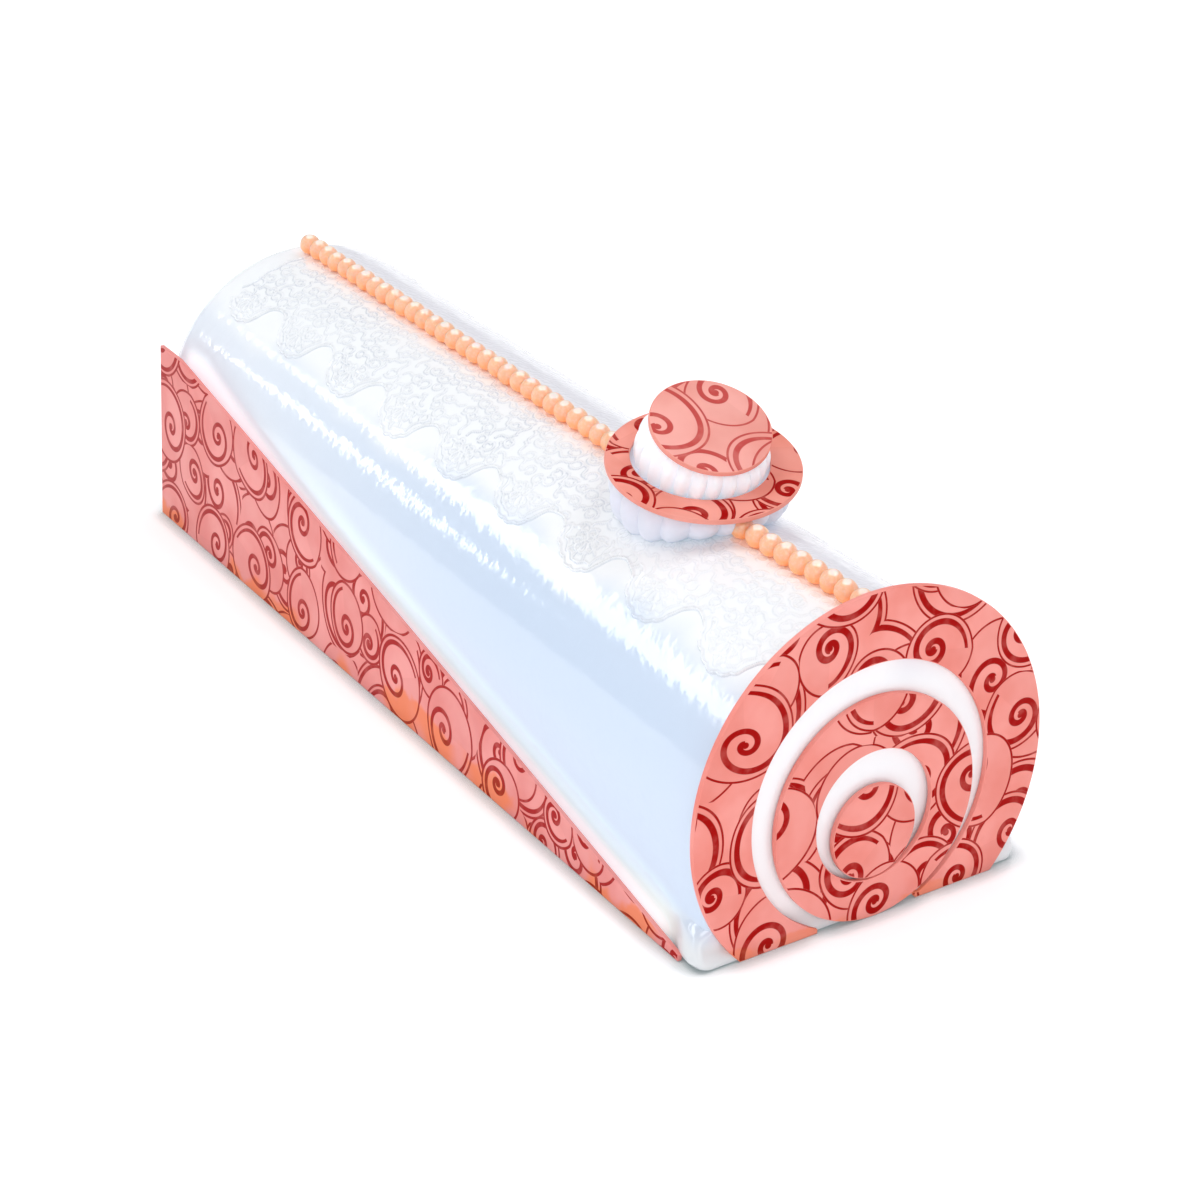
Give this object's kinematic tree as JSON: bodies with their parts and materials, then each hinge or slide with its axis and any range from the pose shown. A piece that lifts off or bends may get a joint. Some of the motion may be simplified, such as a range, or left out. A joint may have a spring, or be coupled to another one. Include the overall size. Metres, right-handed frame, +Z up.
{
  "type": "yule log cake",
  "caption": "Uncut yule log cake in white glaze with piped cream and discs on top, sugar pearls along the ridge, a nested round end plaque and tapering side strips.",
  "frame": {"origin": "centre of the cake's box at its base, on the table", "axes": "+X along the log towards the end plaque, +Z up, -Y the side whose strip is the longer one"},
  "size_m": [0.2978, 0.0992, 0.1032],
  "materials": {
    "glaze": "mirror-like white glaze",
    "chocolate": "coral tinted chocolate, softly glossy, with a red scroll print",
    "cream": "soft satin whipped cream",
    "pearl": "peach pearlescent sugar"
  },
  "bodies": {
    "root": {"log_body": "glaze", "side_strip_left": "chocolate", "side_strip_right": "chocolate", "end_ring": "chocolate", "end_disc_middle": "chocolate", "end_disc_inner": "chocolate", "cream_lower": "cream", "topper_ring": "chocolate", "cream_upper": "cream", "topper_disc": "chocolate", "pearl_back_01": "pearl", "pearl_back_02": "pearl", "pearl_back_03": "pearl", "pearl_back_04": "pearl", "pearl_back_05": "pearl", "pearl_back_06": "pearl", "pearl_back_07": "pearl", "pearl_back_08": "pearl", "pearl_back_09": "pearl", "pearl_back_10": "pearl", "pearl_back_11": "pearl", "pearl_back_12": "pearl", "pearl_back_13": "pearl", "pearl_back_14": "pearl", "pearl_back_15": "pearl", "pearl_back_16": "pearl", "pearl_back_17": "pearl", "pearl_back_18": "pearl", "pearl_back_19": "pearl", "pearl_back_20": "pearl", "pearl_back_21": "pearl", "pearl_back_22": "pearl", "pearl_back_23": "pearl", "pearl_back_24": "pearl", "pearl_back_25": "pearl", "pearl_back_26": "pearl", "pearl_back_27": "pearl", "pearl_back_28": "pearl", "pearl_back_29": "pearl", "pearl_back_30": "pearl", "pearl_back_31": "pearl", "pearl_back_32": "pearl", "pearl_front_01": "pearl", "pearl_front_02": "pearl", "pearl_front_03": "pearl", "pearl_front_04": "pearl", "pearl_front_05": "pearl", "pearl_front_06": "pearl", "pearl_front_07": "pearl", "pearl_front_08": "pearl", "pearl_front_09": "pearl"}
  },
  "joints": []
}
